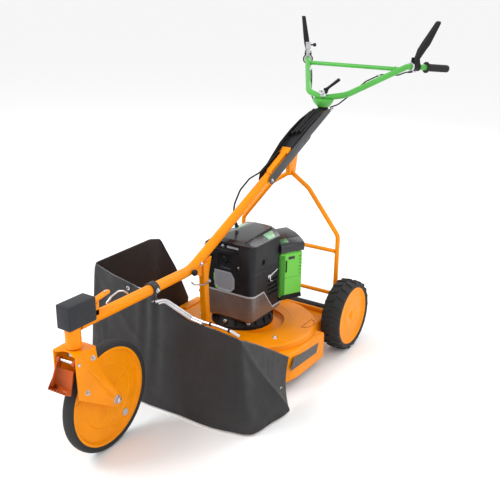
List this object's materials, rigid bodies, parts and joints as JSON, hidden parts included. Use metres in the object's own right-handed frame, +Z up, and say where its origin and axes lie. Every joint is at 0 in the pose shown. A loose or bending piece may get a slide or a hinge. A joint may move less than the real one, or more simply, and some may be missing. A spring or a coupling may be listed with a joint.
{
  "type": "three-wheeled battery rotary mower",
  "caption": "Walk-behind battery mower for tall grass with castor front wheel, pressed deck, backbone tube, cloth guard and swivelling handlebar.",
  "frame": {"origin": "on the ground, under the middle of the mower's bounding box", "axes": "+Z up, -Y towards the front (castor) wheel, +X towards the mower's own left, where the battery stands"},
  "size_m": [0.748, 2.0531, 1.2513],
  "materials": {
    "orange_paint": "gloss powder coat",
    "rust_paint": "satin paint",
    "green_paint": "gloss powder coat",
    "black_paint": "satin paint",
    "black_plastic": "fine grained",
    "gloss_black_plastic": "gloss",
    "smoke_plastic": "smoky gloss",
    "grey_plastic": "fine grained",
    "lime_plastic": "satin",
    "orange_plastic": "satin",
    "foam_rubber": "closed-cell foam",
    "grip_rubber": "ribbed, matt",
    "cable_rubber": "matt sheath",
    "tyre_rubber": "matt with tread",
    "guard_cloth": "coated cloth, faint weave",
    "zinc": "bright zinc plate",
    "steel": "plain ground steel"
  },
  "bodies": {
    "chassis": {"main_tube": "orange_paint", "head_tube": "orange_paint", "front_strut": "orange_paint", "bumper_block": "foam_rubber", "apron_clamp": "black_plastic", "deck": "orange_paint", "apron": "guard_cloth", "apron_rod_left": "zinc", "apron_rod_right": "zinc", "motor_base": "black_plastic", "motor_shroud": "smoke_plastic", "motor_housing": "gloss_black_plastic", "grille_panel": "grey_plastic", "motor_lid": "black_plastic", "battery_bay": "black_plastic", "motor_stator": "steel", "rear_leg_left": "orange_paint", "rear_leg_right": "orange_paint", "upper_crossbar": "orange_paint", "lower_crossbar": "orange_paint", "frame_bracket": "orange_paint", "travel_gearbox": "black_plastic", "axle_tube": "black_paint", "cover_left": "black_plastic", "cover_right": "black_plastic", "motor_lead": "cable_rubber", "swivel_seat": "black_paint"},
    "front_fork": {"fork": "orange_paint", "kingpin": "steel", "front_axle_bolt": "zinc"},
    "front_wheel": {"front_tyre": "tyre_rubber", "front_rim": "orange_plastic", "front_wheel_bush": "steel"},
    "fork_pedal": {"fork_pedal": "rust_paint"},
    "swivel_lock_lever": {"swivel_lock_lever": "orange_paint"},
    "rear_wheel_left": {"rear_tyre_left": "tyre_rubber", "rear_rim_left": "orange_plastic", "half_shaft_left": "steel"},
    "rear_wheel_right": {"rear_tyre_right": "tyre_rubber", "rear_rim_right": "orange_plastic", "half_shaft_right": "steel"},
    "cutter": {"blade": "steel", "blade_hub": "steel", "motor_rotor": "steel"},
    "battery": {"battery": "lime_plastic"},
    "battery_flap": {"battery_flap": "black_plastic"},
    "handlebar": {"handle_tube": "green_paint", "handle_crossbar": "green_paint", "clamp_bolt": "zinc", "grip_left": "grip_rubber", "grip_right": "grip_rubber", "lever_mount_left": "black_plastic", "lever_mount_right": "black_plastic", "switch_housing": "zinc", "cable_left": "cable_rubber", "cable_right": "cable_rubber"},
    "cam_lever": {"cam_lever": "grey_plastic"},
    "hand_lever_left": {"hand_lever_left": "black_plastic"},
    "hand_lever_right": {"hand_lever_right": "black_plastic"},
    "stop_button": {"stop_button": "black_plastic"}
  },
  "joints": [
    {"name": "fork_swivel", "type": "hinge", "parent": "chassis", "child": "front_fork", "pos_m": [0, -0.943, 0.45], "axis": [0, 0, 1], "continuous": true},
    {"name": "front_wheel_spin", "type": "hinge", "parent": "front_fork", "child": "front_wheel", "pos_m": [-0.00644, -0.82017, 0.18], "axis": [0.9986, 0.0523, 0], "continuous": true},
    {"name": "fork_pedal_press", "type": "hinge", "parent": "front_fork", "child": "fork_pedal", "pos_m": [0.00162, -0.97396, 0.37], "axis": [0.9986, 0.0523, 0], "range_deg": [0, 12], "stiffness_Nm_per_rad": 8, "springref_deg": -5.73},
    {"name": "swivel_lock_lift", "type": "hinge", "parent": "chassis", "child": "swivel_lock_lever", "pos_m": [0, -0.858, 0.514], "axis": [1, 0, 0], "range_deg": [0, 40]},
    {"name": "rear_wheel_left_spin", "type": "hinge", "parent": "chassis", "child": "rear_wheel_left", "pos_m": [0.297, 0.23, 0.143], "axis": [1, 0, 0], "continuous": true},
    {"name": "rear_wheel_right_spin", "type": "hinge", "parent": "chassis", "child": "rear_wheel_right", "pos_m": [-0.297, 0.23, 0.143], "axis": [1, 0, 0], "continuous": true},
    {"name": "blade_spin", "type": "hinge", "parent": "chassis", "child": "cutter", "pos_m": [0, -0.07, 0.07], "axis": [0, 0, 1], "continuous": true},
    {"name": "battery_pull", "type": "slide", "parent": "chassis", "child": "battery", "axis": [0.891, -0.454, 0], "range_m": [0, 0.15]},
    {"name": "battery_flap_lift", "type": "hinge", "parent": "chassis", "child": "battery_flap", "pos_m": [0.03823, 0.0962, 0.488], "axis": [-0.454, -0.891, 0], "range_deg": [0, 75]},
    {"name": "handlebar_swivel", "type": "hinge", "parent": "chassis", "child": "handlebar", "pos_m": [0, 0.527, 0.943], "axis": [0, 0, 1], "range_deg": [-30, 30]},
    {"name": "cam_lever_release", "type": "hinge", "parent": "handlebar", "child": "cam_lever", "pos_m": [0, 0.527, 0.971], "axis": [0, -1, 0], "range_deg": [0, 100]},
    {"name": "hand_lever_left_squeeze", "type": "hinge", "parent": "handlebar", "child": "hand_lever_left", "pos_m": [0.26274, 0.85618, 1.08773], "axis": [-0.8763, 0.4818, 0], "range_deg": [0, 45], "stiffness_Nm_per_rad": 1.5, "springref_deg": -5.73},
    {"name": "hand_lever_right_squeeze", "type": "hinge", "parent": "handlebar", "child": "hand_lever_right", "pos_m": [-0.26274, 0.85618, 1.08773], "axis": [-0.8763, -0.4818, 0], "range_deg": [0, 45], "stiffness_Nm_per_rad": 1.5, "springref_deg": -5.73},
    {"name": "stop_button_press", "type": "slide", "parent": "handlebar", "child": "stop_button", "axis": [-0.8763, -0.4818, 0], "range_m": [0, 0.005], "stiffness_N_per_m": 400, "springref_m": -0.002}
  ]
}
